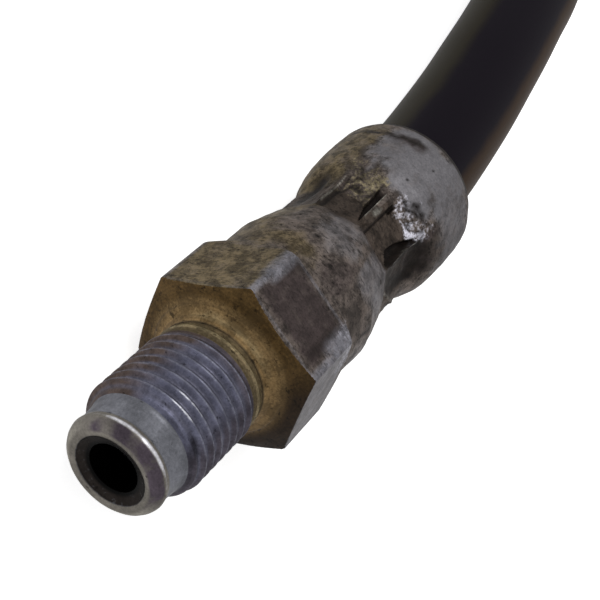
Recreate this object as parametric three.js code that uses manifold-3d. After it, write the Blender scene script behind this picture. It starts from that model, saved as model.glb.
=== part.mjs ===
// A hydraulic brake hose for a car: a stiff reinforced rubber hose with a steel
// fitting crimped on each end. The near end is a male M10 x 1 union, the far end
// a female M10 x 1 union.
//
// Units are millimetres and +Z is up. The hose lies at rest on the plane z = 0,
// curved to the left, with each fitting down on a flat of its hexagon and on the
// round collar of its crimp. The origin is below the middle of the two fittings.
//
// Each fitting is made along its own +X axis, from its open end towards the hose.
// A place along it is a station, counted from the open end.
import * as THREE from "three";
import { mergeVertices } from "three/addons/utils/BufferGeometryUtils.js";
import Module from "manifold-3d";

const wasm = await Module();
wasm.setup();

// Clearances and how finely round things are drawn
const fitGap = 0.3; // between curved faces that touch on the real part
const turnedSides = 32;
const boreSides = 16;
const threadSides = 20;
const coverSides = 12;
const layerSides = 8;
const hoseSteps = 20; // between the two crimps
const cutMargin = 2; // how far a cutting shape reaches past what it cuts
const overlap = 0.2; // how far two shapes that are joined reach into each other

// Hose
const hoseRadius = 5.4;
const hoseBoreRadius = 1.6;
const linerWall = 0.8;
const braidWall = 0.4;
const hoseInsertion = 22.6; // length of hose inside each crimp

// Centreline of the hose, from its end in the male fitting to its end in the female one
const hoseRoute = [
  [-69.6, -77.5, 7.11],
  [-54.6, -77.5, 7.286],
  [-47.0, -77.3, 7.44],
  [-41.6, -76.85, 7.64],
  [-35.6, -76.1, 7.92],
  [-29.6, -75.2, 8.22],
  [-23.6, -74.1, 8.52],
  [-17.6, -73.0, 8.78],
  [-11.6, -71.8, 8.97],
  [-5.6, -70.7, 9.05],
  [6.7, -67.6, 8.7],
  [18.5, -63.1, 7.8],
  [29.8, -57.3, 6.7],
  [40.4, -50.3, 5.8],
  [50.0, -42.1, 5.45],
  [58.6, -32.8, 5.45],
  [66.2, -22.6, 5.45],
  [72.4, -11.6, 5.5],
  [77.4, 0.1, 5.8],
  [81.0, 12.3, 6.35],
  [83.1, 24.7, 6.9],
  [83.9, 37.0, 7.25],
  [84.0, 44.5, 7.337],
  [84.0, 52.1, 7.385],
  [84.0, 67.1, 7.48],
];

// Crimped shell, the same on both ends. Distances are back from its mouth.
const bodyRadius = 7;
const bodyBack = 20.1; // where the plain body starts to dip into the crimp
const waistRadius = 6.06;
const waistBack = 13.6;
const collarRadius = 7.35;
const collarBack = 2.1; // the widest place of the collar
const rimRadius = 6.5;
const mouthRadius = 6.1;
const jawCount = 8;
const jawTurn = 7.6; // degrees from the top to the middle of the first jaw mark
const jawApothem = 5.62; // a jaw mark's flat floor, from the axis
const jawFloorBack = 16.3;
const jawFloorFront = 10.4;
const jawRiseFront = 1.2;
const jawRiseBack = 2.7;
const pinchedRadius = 4.5; // the hose, squeezed under the jaws

// Male fitting, stations from the tip of its nose
const maleLength = 45.6;
const noseFaceRadius = 3.5;
const noseBeadRadius = 4.13;
const noseBeadStation = 0.9;
const noseNeckRadius = 4.0;
const pilotRadius = 4.1;
const threadStart = 3.3;
const threadEnd = 11.3;
const threadRadius = 4.95;
const threadPitch = 1;
const threadDepth = 0.61;
const threadLeadIn = 0.7;
const reliefRadius = 4.3;
const reliefEnd = 12.7;
const bossRadius = 5.6;
const bossStation = 13.5;
const maleAcrossFlats = 14;
const hexFrontCone = 0.85; // how far the hexagon's front face falls back to its corners
const maleHexEnd = 19.3;
const hexBackCone = 2.3;
const seatRadius = 2.92;
const seatDepth = 0.6;
const passageRadius = 2.17;
const maleStep = 9; // where the passage narrows and the insert seats

// Female fitting, stations from its end face
const femaleLength = 41;
const femaleAcrossFlats = 15;
const femaleHexEnd = 14.7;
const clipGrooveStation = 5;
const clipGrooveWidth = 2.2;
const clipGrooveRadius = 6.3;
const socketRadius = 4.46;
const socketDepth = 11;
const socketChamferRadius = 5.3;
const socketConeDepth = 1.6;
const femaleWeb = 1.6; // steel between the socket's cone and the seat of the insert
const femaleStep = socketDepth + socketConeDepth + femaleWeb;
const endChamfer = 0.6;

// Inserts, the steel tubes that hold the hose open under the crimp
const insertRadius = 1.25;
const insertBoreRadius = 0.85;
const insertFlangeLength = 0.8;
const insertReach = 5.6; // its end, back from the mouth

const deg = Math.PI / 180;

// A closed three.js geometry as a solid
function solidOf(geometry) {
  const bare = geometry.index ? geometry.toNonIndexed() : geometry.clone();
  bare.deleteAttribute("normal");
  bare.deleteAttribute("uv");
  const merged = mergeVertices(bare, 1e-4);
  return new wasm.Manifold(
    new wasm.Mesh({
      numProp: 3,
      vertProperties: merged.attributes.position.array,
      triVerts: new Uint32Array(merged.index.array),
    }),
  );
}

// A solid as a flat-shaded three.js geometry
function geometryOf(solid) {
  const mesh = solid.getMesh();
  const geometry = new THREE.BufferGeometry();
  geometry.setAttribute("position", new THREE.BufferAttribute(mesh.vertProperties, 3));
  geometry.setIndex(new THREE.BufferAttribute(mesh.triVerts, 1));
  const flat = geometry.toNonIndexed();
  flat.computeVertexNormals();
  return flat;
}

// A solid turned about +X from a profile of [station, radius] pairs, outside first
function turned(profile, sides) {
  const points = profile.map(([station, radius]) => new THREE.Vector2(radius, station));
  const lathe = new THREE.LatheGeometry(points, sides);
  lathe.rotateZ(-Math.PI / 2);
  return solidOf(lathe);
}

// The same, for a ring: the profile closes on itself
function turnedRing(profile, sides) {
  return turned([...profile, profile[0]], sides);
}

// A hexagonal bar along +X with a flat on top
function hexBar(from, to, acrossFlats) {
  const corner = acrossFlats / 2 / Math.cos(30 * deg);
  const bar = new THREE.CylinderGeometry(corner, corner, to - from, 6);
  bar.rotateZ(-Math.PI / 2);
  bar.rotateX(30 * deg);
  bar.translate((from + to) / 2, 0, 0);
  return solidOf(bar);
}

// The hexagon with its turned front and back cones
function hexCollar(front, end, acrossFlats, frontInnerRadius) {
  const outside = acrossFlats / 2 / Math.cos(30 * deg) + 0.1;
  const envelope = turned(
    [
      [front, 0],
      [front, frontInnerRadius],
      [front + hexFrontCone, outside],
      [end, outside],
      [end + hexBackCone, bodyRadius - 0.2],
      [end + hexBackCone, 0],
    ],
    turnedSides,
  );
  return hexBar(front - cutMargin, end + hexBackCone + cutMargin, acrossFlats).intersect(envelope);
}

// A threaded rod: one V-shaped ridge wound round the axis, closed at both ends
function threadedRod(from, turns, rootRadius, crestRadius, pitch) {
  const crestHalf = pitch * 0.07;
  const steps = turns * threadSides;
  const positions = [];
  const index = [];
  const addPoint = (step, offset, radius) => {
    const angle = (step / threadSides) * 2 * Math.PI;
    const station = from + (step / threadSides) * pitch + offset;
    positions.push(station, -radius * Math.sin(angle), radius * Math.cos(angle));
  };
  for (let i = 0; i <= steps + threadSides; i++) {
    addPoint(i, 0, rootRadius);
    addPoint(i, pitch / 2 - crestHalf, crestRadius);
    addPoint(i, pitch / 2 + crestHalf, crestRadius);
  }
  const root = (i) => i * 3;
  const crest = (i) => i * 3 + 1;
  const fall = (i) => i * 3 + 2;
  const strip = (a, b, c, d) => index.push(a, b, c, c, b, d);
  for (let i = 0; i < steps; i++) {
    strip(root(i), root(i + 1), crest(i), crest(i + 1));
    strip(crest(i), crest(i + 1), fall(i), fall(i + 1));
    strip(fall(i), fall(i + 1), root(i + threadSides), root(i + 1 + threadSides));
  }
  for (const [at, flip] of [
    [0, false],
    [steps, true],
  ]) {
    const centre = positions.length / 3;
    positions.push(from + (at / threadSides) * pitch + pitch / 2, 0, 0);
    const rim = [root(at), crest(at), fall(at)];
    for (let i = threadSides; i > 0; i--) rim.push(root(at + i));
    rim.forEach((corner, i) => {
      const next = rim[(i + 1) % rim.length];
      index.push(centre, ...(flip ? [next, corner] : [corner, next]));
    });
  }
  const rod = new THREE.BufferGeometry();
  rod.setAttribute("position", new THREE.Float32BufferAttribute(positions, 3));
  rod.setIndex(index);
  return solidOf(rod);
}

// The threaded stretch of the male fitting, with its lead-in and its run-out
function maleThread() {
  const root = threadRadius - threadDepth;
  const rod = threadedRod(
    threadStart - threadPitch,
    Math.ceil((threadEnd - threadStart) / threadPitch) + 1,
    root,
    threadRadius,
    threadPitch,
  );
  const beyond = threadRadius + 0.3;
  const envelope = turned(
    [
      [threadStart, 0],
      [threadStart, root - 0.1],
      [threadStart + threadLeadIn, beyond],
      [threadEnd - threadLeadIn, beyond],
      [threadEnd, root - 0.02],
      [threadEnd, 0],
    ],
    threadSides,
  );
  return rod.intersect(envelope);
}

// Outside of the crimped shell, from the plain body to the mouth
function shellProfile(length) {
  const dip = bodyRadius - waistRadius;
  const swell = collarRadius - waistRadius;
  return [
    [length - bodyBack, bodyRadius],
    [length - bodyBack + 1.2, bodyRadius - dip * 0.2],
    [length - bodyBack + 2.9, bodyRadius - dip * 0.66],
    [length - bodyBack + 4.4, bodyRadius - dip * 0.92],
    [length - waistBack, waistRadius],
    [length - waistBack + 1.8, waistRadius + swell * 0.03],
    [length - waistBack + 3, waistRadius + swell * 0.15],
    [length - waistBack + 4.2, waistRadius + swell * 0.39],
    [length - waistBack + 5.2, waistRadius + swell * 0.62],
    [length - waistBack + 6.2, waistRadius + swell * 0.78],
    [length - waistBack + 8.5, waistRadius + swell * 0.95],
    [length - collarBack, collarRadius],
    [length - collarBack / 2, collarRadius - (collarRadius - rimRadius) * 0.12],
    [length - collarBack * 0.15, collarRadius - (collarRadius - rimRadius) * 0.55],
    [length, rimRadius],
  ];
}

// How far back from the mouth the hose is pinched, with its radius there as a share
const pinch = [
  [hoseInsertion, 1],
  [jawFloorBack + 3.3, 1],
  [jawFloorBack - 0.2, 0],
  [jawFloorFront + 0.7, 0],
  [jawFloorFront - 2.3, 1],
];

function pinchedTo(radius, share) {
  const squeezed =
    hoseBoreRadius +
    ((radius - hoseBoreRadius) * (pinchedRadius - hoseBoreRadius)) / (hoseRadius - hoseBoreRadius);
  return squeezed + (radius - squeezed) * share;
}

// The hollow that the hose sits in
function hoseHollow(length) {
  const inside = pinch.map(([back, share]) => [
    length - back,
    pinchedTo(hoseRadius, share) + fitGap,
  ]);
  const floor = length - hoseInsertion - fitGap;
  return turned(
    [
      [floor, 0],
      [floor, hoseRadius + fitGap],
      ...inside.slice(1),
      [length - 0.4, mouthRadius],
      [length + 0.4, mouthRadius + 0.5],
      [length + 0.4, 0],
    ],
    coverSides * 2,
  );
}

// What one crimping jaw presses away
function jawMark(length, turn) {
  const depth = collarRadius - jawApothem + cutMargin;
  const slope = depth / (bodyRadius - jawApothem);
  const outline = new THREE.Shape([
    new THREE.Vector2(length - jawFloorBack, jawApothem),
    new THREE.Vector2(length - jawFloorFront, jawApothem),
    new THREE.Vector2(length - jawFloorFront + jawRiseFront * slope, jawApothem + depth),
    new THREE.Vector2(length - jawFloorBack - jawRiseBack * slope, jawApothem + depth),
  ]);
  const width = 2 * (jawApothem + depth) * Math.tan(Math.PI / jawCount);
  const block = new THREE.ExtrudeGeometry(outline, { depth: width, bevelEnabled: false });
  block.translate(0, 0, -width / 2);
  block.rotateX(Math.PI / 2);
  block.rotateX(turn);
  return solidOf(block);
}

// Presses the jaw marks and opens the hollow for the hose
function crimp(fitting, length) {
  let shell = fitting;
  for (let i = 0; i < jawCount; i++) {
    const turn = jawTurn * deg + (i * 2 * Math.PI) / jawCount;
    shell = shell.subtract(jawMark(length, turn));
  }
  return shell.subtract(hoseHollow(length));
}

// The drilled way through a fitting, down to the step where the insert seats
function insertSeat(step, length) {
  return turned(
    [
      [step - cutMargin, 0],
      [step - cutMargin, passageRadius],
      [step, passageRadius],
      [step, insertRadius + fitGap],
      [length - hoseInsertion, insertRadius + fitGap],
      [length - hoseInsertion, 0],
    ],
    boreSides,
  );
}

function maleFitting() {
  const threadCoreRadius = threadRadius - threadDepth - 2 * overlap;
  const outside = turned(
    [
      [0, 0],
      [0, noseFaceRadius],
      [noseBeadStation * 0.45, noseBeadRadius - 0.2],
      [noseBeadStation, noseBeadRadius],
      [noseBeadStation + 0.6, noseNeckRadius],
      [noseBeadStation + 1.3, pilotRadius],
      [threadStart + overlap, pilotRadius],
      [threadStart + overlap, threadCoreRadius],
      [threadEnd - overlap, threadCoreRadius],
      [threadEnd - overlap, reliefRadius],
      [reliefEnd, reliefRadius],
      [bossStation, bossRadius],
      [bossStation + 1, bossRadius + 0.4],
      [maleHexEnd, bossRadius + 0.9],
      [maleHexEnd + hexBackCone * 0.7, bodyRadius],
      ...shellProfile(maleLength),
      [maleLength, 0],
    ],
    turnedSides,
  );
  const hexagon = hexCollar(bossStation - 0.2, maleHexEnd, maleAcrossFlats, bossRadius - 0.4);
  const passage = turned(
    [
      [-cutMargin, 0],
      [-cutMargin, seatRadius],
      [0, seatRadius],
      [seatDepth, passageRadius],
      [maleStep - cutMargin / 2, passageRadius],
      [maleStep - cutMargin / 2, 0],
    ],
    boreSides,
  );
  const body = outside.add(maleThread()).add(hexagon);
  return crimp(body, maleLength).subtract(passage).subtract(insertSeat(maleStep, maleLength));
}

function femaleFitting() {
  const core = turned(
    [
      [0.5, 0],
      [0.5, clipGrooveRadius],
      [femaleHexEnd + hexBackCone * 0.9, clipGrooveRadius],
      [femaleHexEnd + hexBackCone, bodyRadius],
      ...shellProfile(femaleLength),
      [femaleLength, 0],
    ],
    turnedSides,
  );
  const outside = femaleAcrossFlats / 2 / Math.cos(30 * deg) + 0.1;
  const envelope = turned(
    [
      [0, 0],
      [0, femaleAcrossFlats / 2 - endChamfer],
      [endChamfer, outside - 0.3],
      [endChamfer + 0.2, outside],
      [clipGrooveStation, outside],
      [clipGrooveStation, clipGrooveRadius],
      [clipGrooveStation + clipGrooveWidth, clipGrooveRadius],
      [clipGrooveStation + clipGrooveWidth, outside],
      [femaleHexEnd, outside],
      [femaleHexEnd + hexBackCone, bodyRadius - 0.2],
      [femaleHexEnd + hexBackCone, 0],
    ],
    turnedSides,
  );
  const bar = hexBar(-cutMargin, femaleHexEnd + hexBackCone + cutMargin, femaleAcrossFlats);
  const socket = turned(
    [
      [-cutMargin, 0],
      [-cutMargin, socketChamferRadius],
      [0, socketChamferRadius],
      [socketChamferRadius - socketRadius, socketRadius],
      [socketDepth, socketRadius],
      [socketDepth + socketConeDepth, passageRadius],
      [femaleStep - cutMargin / 2, passageRadius],
      [femaleStep - cutMargin / 2, 0],
    ],
    boreSides,
  );
  const body = core.add(bar.intersect(envelope));
  return crimp(body, femaleLength)
    .subtract(socket)
    .subtract(insertSeat(femaleStep, femaleLength));
}

// An insert: a thin tube whose flange seats on the step of its fitting
function insert(step, length) {
  return turnedRing(
    [
      [step - insertFlangeLength, passageRadius - fitGap],
      [step, passageRadius - fitGap],
      [step, insertRadius],
      [length - insertReach, insertRadius],
      [length - insertReach, insertBoreRadius],
      [step - insertFlangeLength, insertBoreRadius],
    ],
    boreSides,
  );
}

const route = hoseRoute.map(([x, y, z]) => new THREE.Vector3(x, y, z));

// The frame of a crimp: +X runs along the hose out of the fitting, with the mouth at the origin
function mouthFrame(end, next) {
  const along = next.clone().sub(end).normalize();
  const mouth = end.clone().addScaledVector(along, hoseInsertion);
  const side = new THREE.Vector3(0, 0, 1).cross(along).normalize();
  const above = along.clone().cross(side);
  return new THREE.Matrix4().makeBasis(along, side, above).setPosition(mouth);
}

const maleMouth = mouthFrame(route.at(0), route.at(1));
const femaleMouth = mouthFrame(route.at(-1), route.at(-2));

// The hose's centreline, with its sections close together where the crimps pinch it
class HosePath extends THREE.Curve {
  constructor() {
    super();
    this.line = new THREE.CatmullRomCurve3(route, false, "centripetal");
    this.line.arcLengthDivisions = 600;
    this.length = this.line.getLength();
    const nearEnd = pinch.map(([back]) => hoseInsertion - back);
    const farEnd = nearEnd.map((place) => this.length - place).reverse();
    const free = farEnd[0] - nearEnd.at(-1);
    const between = Array.from(
      { length: hoseSteps - 1 },
      (_, i) => nearEnd.at(-1) + (free * (i + 1)) / hoseSteps,
    );
    this.places = [...nearEnd, ...between, ...farEnd];
    this.steps = this.places.length - 1;
  }

  shareAt(u) {
    const step = Math.min(Math.floor(u * this.steps), this.steps - 1);
    const past = u * this.steps - step;
    return THREE.MathUtils.lerp(this.places[step], this.places[step + 1], past) / this.length;
  }

  getPointAt(u, target) {
    return this.line.getPointAt(this.shareAt(u), target);
  }

  getTangentAt(u, target) {
    return this.line.getTangentAt(this.shareAt(u), target);
  }
}

// How much of its free size the hose keeps at a distance back from a mouth
function pinchShare(back) {
  const next = pinch.findIndex(([place]) => place <= back);
  if (next < 0) return 1;
  if (next === 0) return pinch[0][1];
  const [from, fromShare] = pinch[next - 1];
  const [to, toShare] = pinch[next];
  return THREE.MathUtils.mapLinear(back, from, to, fromShare, toShare);
}

// Squeezes the part of a hose layer that is inside a crimp
function squeeze(geometry, frame) {
  const positions = geometry.attributes.position;
  const inverse = frame.clone().invert();
  const point = new THREE.Vector3();
  for (let i = 0; i < positions.count; i++) {
    point.fromBufferAttribute(positions, i).applyMatrix4(inverse);
    const radius = Math.hypot(point.y, point.z);
    const squeezed = pinchedTo(radius, pinchShare(-point.x)) / radius;
    point.multiply(new THREE.Vector3(1, squeezed, squeezed));
    positions.setXYZ(i, ...point.applyMatrix4(frame));
  }
}

const hosePath = new HosePath();

// A layer of the hose, from its end in one crimp to its end in the other
function hoseLayer(innerRadius, outerRadius, sides) {
  const ring = new THREE.Shape().absarc(0, 0, outerRadius, 0, 2 * Math.PI, false);
  ring.holes.push(new THREE.Path().absarc(0, 0, innerRadius, 0, 2 * Math.PI, true));
  const tube = new THREE.ExtrudeGeometry(ring, {
    steps: hosePath.steps,
    curveSegments: sides / 2,
    extrudePath: hosePath,
  });
  squeeze(tube, maleMouth);
  squeeze(tube, femaleMouth);
  return solidOf(tube);
}

const steel = { color: 0x8f8a86, roughness: 0.45, metalness: 1 };
const insertSteel = { color: 0xb9b6ae, roughness: 0.35, metalness: 1 };
const rubber = { color: 0x2b2a2e, roughness: 0.6, metalness: 0 };
const linerRubber = { color: 0x1d1d1f, roughness: 0.7, metalness: 0 };
const yarn = { color: 0xcfc8b6, roughness: 0.9, metalness: 0 };

function piece(name, solid, finish) {
  const mesh = new THREE.Mesh(geometryOf(solid), new THREE.MeshStandardMaterial(finish));
  mesh.name = name;
  return mesh;
}

// A fitting and its insert, moved so that the mouth of the crimp comes to the given frame
function seated(frame, length, pieces) {
  const group = new THREE.Group();
  group.applyMatrix4(frame);
  for (const mesh of pieces) {
    mesh.position.x = -length;
    group.add(mesh);
  }
  return group;
}

const hose = new THREE.Group();
hose.add(
  seated(maleMouth, maleLength, [
    piece("male_fitting", maleFitting(), steel),
    piece("male_insert", insert(maleStep, maleLength), insertSteel),
  ]),
  seated(femaleMouth, femaleLength, [
    piece("female_fitting", femaleFitting(), steel),
    piece("female_insert", insert(femaleStep, femaleLength), insertSteel),
  ]),
);

// The layers of the hose wall, from the bore outwards
const layers = [
  ["hose_liner", linerWall, linerRubber],
  ["inner_braid", braidWall, yarn],
  ["outer_braid", braidWall, yarn],
];
let layerInside = hoseBoreRadius;
for (const [name, wall, finish] of layers) {
  hose.add(piece(name, hoseLayer(layerInside, layerInside + wall, layerSides), finish));
  layerInside += wall + fitGap;
}
hose.add(piece("hose_cover", hoseLayer(layerInside, hoseRadius, coverSides), rubber));

export default hose;
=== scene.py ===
"""A brake hose with a weathered male union, lying on a pale floor.

The sizes are in millimetres and are turned to metres when a mesh is made. Each
fitting is made along its own X axis: a station counts from its open end towards
the hose, and a turn counts in degrees from the top towards the side that the
camera has on its right.
"""

import math

import bpy
import numpy as np
from bpy.props import FloatProperty, FloatVectorProperty, PointerProperty
from mathutils import Matrix, Vector


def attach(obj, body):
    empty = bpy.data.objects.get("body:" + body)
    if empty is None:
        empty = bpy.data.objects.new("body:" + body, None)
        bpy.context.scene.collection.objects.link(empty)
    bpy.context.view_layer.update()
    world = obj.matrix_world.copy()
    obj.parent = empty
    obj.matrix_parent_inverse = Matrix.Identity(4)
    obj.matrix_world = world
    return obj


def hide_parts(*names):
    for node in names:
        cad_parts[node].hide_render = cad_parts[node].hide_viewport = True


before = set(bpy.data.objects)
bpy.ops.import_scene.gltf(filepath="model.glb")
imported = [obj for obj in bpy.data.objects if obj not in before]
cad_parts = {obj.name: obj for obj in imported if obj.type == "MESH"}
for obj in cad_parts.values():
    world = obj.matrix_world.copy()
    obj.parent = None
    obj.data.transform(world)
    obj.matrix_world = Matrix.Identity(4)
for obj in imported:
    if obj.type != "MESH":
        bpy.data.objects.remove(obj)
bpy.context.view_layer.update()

bl_info = {
    "name": "Brake hose",
    "version": (1, 0, 0),
    "blender": (4, 5, 0),
    "location": "View3D > Sidebar > Brake hose",
    "description": "Builds a used brake hose with its crimped unions",
    "category": "Add Mesh",
}

MM = 0.001

# The hose's centreline, from its end in the male fitting to its end in the female one
HOSE_ROUTE = [
    (-0.0696, -0.0775, 0.00711), (-0.0546, -0.0775, 0.007286), (-0.0470, -0.0773, 0.00744),
    (-0.0416, -0.07685, 0.00764), (-0.0356, -0.0761, 0.00792), (-0.0296, -0.0752, 0.00822),
    (-0.0236, -0.0741, 0.00852), (-0.0176, -0.0730, 0.00878), (-0.0116, -0.0718, 0.00897),
    (-0.0056, -0.0707, 0.00905), (0.0067, -0.0676, 0.0087), (0.0185, -0.0631, 0.0078),
    (0.0298, -0.0573, 0.0067), (0.0404, -0.0503, 0.0058), (0.0500, -0.0421, 0.00545),
    (0.0586, -0.0328, 0.00545), (0.0662, -0.0226, 0.00545), (0.0724, -0.0116, 0.0055),
    (0.0774, 0.0001, 0.0058), (0.0810, 0.0123, 0.00635), (0.0831, 0.0247, 0.0069),
    (0.0839, 0.0370, 0.00725), (0.0840, 0.0445, 0.007337), (0.0840, 0.0521, 0.007385),
    (0.0840, 0.0671, 0.00748),
]
HOSE_RADIUS = 5.4
HOSE_SIDES = 96
ROUTE_STEP = 1.1  # between the points that smooth the route
COVER_BORE = 4.1
HOSE_INSERTION = 22.6
PINCHED_RADIUS = 4.5
LINER_BORE = 1.6

MALE_LENGTH = 45.6
FEMALE_LENGTH = 41.0
THREAD_PITCH = 1.0
THREAD_DEPTH = 0.42

# The camera of the photograph, found from the fitting's own shape
CAMERA_PLACE = (-0.144012, -0.061818, 0.075979)
CAMERA_FORWARD = (0.73601, -0.156471, -0.65864)
CAMERA_UP = (0.473825, 0.81395, 0.336118)
CAMERA_LENS = 76.08
SENSOR_WIDTH = 36.0

LAMP_PLACE = (0.0, 0.07, 0.58)
LAMP_TARGET = (-0.07, -0.0775, 0.007)
FLOOR_DROP = 0.00002  # keeps the floor just below the lowest points of the part


def linear(hex_color):
    """An sRGB hex colour as linear RGBA."""
    parts = [int(hex_color[i : i + 2], 16) / 255 for i in (1, 3, 5)]
    return [p / 12.92 if p <= 0.04045 else ((p + 0.055) / 1.055) ** 2.4 for p in parts] + [1.0]


def add_node(tree, kind, settings=None, **inputs):
    """Adds a node with its settings and inputs. A node given as an input gives its first output."""
    node = tree.nodes.new(kind)
    for name, value in (settings or {}).items():
        setattr(node, name, value)
    for name, value in inputs.items():
        key = int(name[1:]) if name[0] == "i" and name[1:].isdigit() else name.replace("_", " ")
        if isinstance(value, bpy.types.Node):
            value = value.outputs[0]
        if isinstance(value, bpy.types.NodeSocket):
            tree.links.new(value, node.inputs[key])
        else:
            node.inputs[key].default_value = value
    return node


def smooth(low, high, value):
    """A smooth step from 0 at low to 1 at high."""
    t = np.clip((value - low) / (high - low), 0.0, 1.0)
    return t * t * (3 - 2 * t)


def smooth_min(a, b, blend):
    """The lower of two heights, with the edge between them rounded."""
    h = np.clip(0.5 + 0.5 * (b - a) / blend, 0.0, 1.0)
    return b + (a - b) * h - blend * h * (1 - h)


def turn_gap(turn, centre):
    """How far a turn is from a centre, in degrees, from -180 to 180."""
    return (turn - centre + 180) % 360 - 180


def mouth_frame(end, following):
    """Axes at the mouth of a crimp, with X along the hose as it leaves the fitting."""
    end = Vector(end)
    along = (Vector(following) - end).normalized()
    mouth = end + along * HOSE_INSERTION * MM
    side = Vector((0, 0, 1)).cross(along).normalized()
    above = along.cross(side)
    return Matrix.Translation(mouth) @ Matrix((along, side, above)).transposed().to_4x4()


MALE_MOUTH = mouth_frame(HOSE_ROUTE[0], HOSE_ROUTE[1])
FEMALE_MOUTH = mouth_frame(HOSE_ROUTE[-1], HOSE_ROUTE[-2])


def resample(profile, spacing):
    """Points along a profile of (station, radius, spacing factor), close enough for its detail."""
    points = []
    for (s0, r0, fine), (s1, r1, _) in zip(profile, profile[1:]):
        count = max(1, math.ceil(math.hypot(s1 - s0, r1 - r0) / (spacing * fine)))
        points += [(s0 + (s1 - s0) * i / count, r0 + (r1 - r0) * i / count) for i in range(count)]
    return points


def union_mesh(name, front, spacing, turns, shape, place, length):
    """A union turned from the profile of its front and of the shell, and then given its shape.

    shape(station, radius, turn) gives the new radius and a dict of named masks.
    """
    profile = front[:-1] + shell_profile(length) + front[:1]
    stations, radii = np.array(resample(profile, spacing)).T
    station = np.repeat(stations[:, None], len(turns), axis=1)
    radius = np.repeat(radii[:, None], len(turns), axis=1)
    turn = np.repeat(turns[None, :], len(stations), axis=0)
    radius, masks = shape(station, radius, turn)
    lines = np.random.default_rng(11).random(len(stations))
    masks["lathe"] = np.repeat(lines[:, None], len(turns), axis=1)
    angle = np.radians(turn)
    local = np.stack([station - length, -radius * np.sin(angle), radius * np.cos(angle)], axis=-1)
    world = local.reshape(-1, 3) * MM @ np.array(place.to_3x3()).T + np.array(place.translation)
    piece = mesh_object(name, world, masks, (station, radius, turn))
    piece.data.set_sharp_from_angle(angle=SHARP_ANGLE)
    return piece


def mesh_object(name, points, masks, coordinates):
    """A mesh over rows and columns of points, each of which closes on itself."""
    rows, columns = coordinates[0].shape
    i = np.arange(rows)[:, None]
    j = np.arange(columns)[None, :]
    after, beside = (i + 1) % rows, (j + 1) % columns
    ring = [i * columns + j, i * columns + beside, after * columns + beside, after * columns + j]
    quads = np.stack(ring, axis=-1).reshape(-1, 4)
    mesh = bpy.data.meshes.new(name)
    mesh.from_pydata(points.tolist(), [], quads.tolist())
    for mask, values in masks.items():
        layer = mesh.attributes.new(mask, "FLOAT", "POINT")
        layer.data.foreach_set("value", np.ascontiguousarray(values, dtype=np.float32).ravel())
    station, radius, turn = (values.ravel() for values in coordinates)
    angle = np.radians(turn)
    unrolled = np.stack([station, radius * np.cos(angle), radius * np.sin(angle)], axis=-1)
    layer = mesh.attributes.new("along_part", "FLOAT_VECTOR", "POINT")
    layer.data.foreach_set("vector", unrolled.astype(np.float32).ravel())
    mesh.shade_smooth()
    piece = bpy.data.objects.new(name, mesh)
    bpy.context.collection.objects.link(piece)
    return piece


# Shapes of the fittings

SHARP_ANGLE = math.radians(50)
MALE_STEP, FEMALE_STEP = 0.36, 0.45  # between rows of points, times the profile's own factor
HEX_EDGE_BLEND = 0.1  # where a chamfer runs into the flats
HEX_CORNER_BLEND = 0.16  # between two flats
SHELL_RADIUS = 6.8  # a middling one, for the noise on its surface
DRIFT_WAVES = 12
MALE_LIP, FEMALE_LIP = 45.3, 40.7  # stations where the outside of a shell turns in
CRIMP_RIDGES = (-55.5, -15.0, 25.7, 75.0, 120.0, 165.0, 210.0, 256.0)
JAW_APOTHEM = 5.58
ARC = 0.114  # millimetres of the shell's surface in one degree

# Between which stations each jaw's print rises again to the collar
PRINT_WALLS = (
    (32.9, 36.9), (34.4, 37.5), (33.6, 37.4), (33.8, 37.0),
    (34.0, 37.2), (33.6, 36.8), (34.0, 37.2), (33.6, 37.2),
)


def patch(station, turn, start, end, turn_from, turn_to, soft=0.4, soft_turn=3.0):
    """1 inside a rectangle of stations and turns, falling to 0 over its soft borders."""
    half = (turn_to - turn_from) / 2
    gap = np.abs(turn_gap(turn, turn_from + half))
    begun = smooth(start - soft, start + soft, station)
    along = begun * (1 - smooth(end - soft, end + soft, station))
    return along * (1 - smooth(half - soft_turn, half + soft_turn, gap))


def stroke(station, turn, points, width):
    """1 on a line drawn through points of (station, turn), fading over a width in millimetres."""
    nearest = np.full(station.shape, 1e9)
    for (s0, t0), (s1, t1) in zip(points, points[1:]):
        x, y = station - s0, turn_gap(turn, t0) * ARC
        dx, dy = s1 - s0, (t1 - t0) * ARC
        share = np.clip((x * dx + y * dy) / (dx * dx + dy * dy), 0, 1)
        nearest = np.minimum(nearest, np.hypot(x - share * dx, y - share * dy))
    return np.exp(-((nearest / width) ** 2))


def drift(station, turn, size, seed):
    """Smooth noise round 0 over the surface of a fitting, with features of a size in mm."""
    random = np.random.default_rng(seed)
    angle = np.radians(turn)
    across, up = SHELL_RADIUS * np.sin(angle), SHELL_RADIUS * np.cos(angle)
    places = np.stack([station, across, up], axis=-1)
    total = np.zeros_like(station)
    for _ in range(DRIFT_WAVES):
        wave = random.normal(size=3)
        wave *= 2 * math.pi / size * random.uniform(0.6, 1.5) / np.linalg.norm(wave)
        total += np.sin(places @ wave + random.uniform(0, 6.3))
    return total / 2.5  # about 1 at its usual height


def hexagon(turn, apothems):
    """Radius of a hexagon with a flat on top and slightly rounded edges, from its apothems."""
    radius = np.full(turn.shape, 12.0)  # outside every corner
    for k, apothem in enumerate(apothems):
        across = np.cos(np.radians(turn_gap(turn, 60 * k)))
        flat = apothem / np.maximum(across, 0.4)
        radius = smooth_min(radius, flat, HEX_CORNER_BLEND)
    return radius


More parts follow.
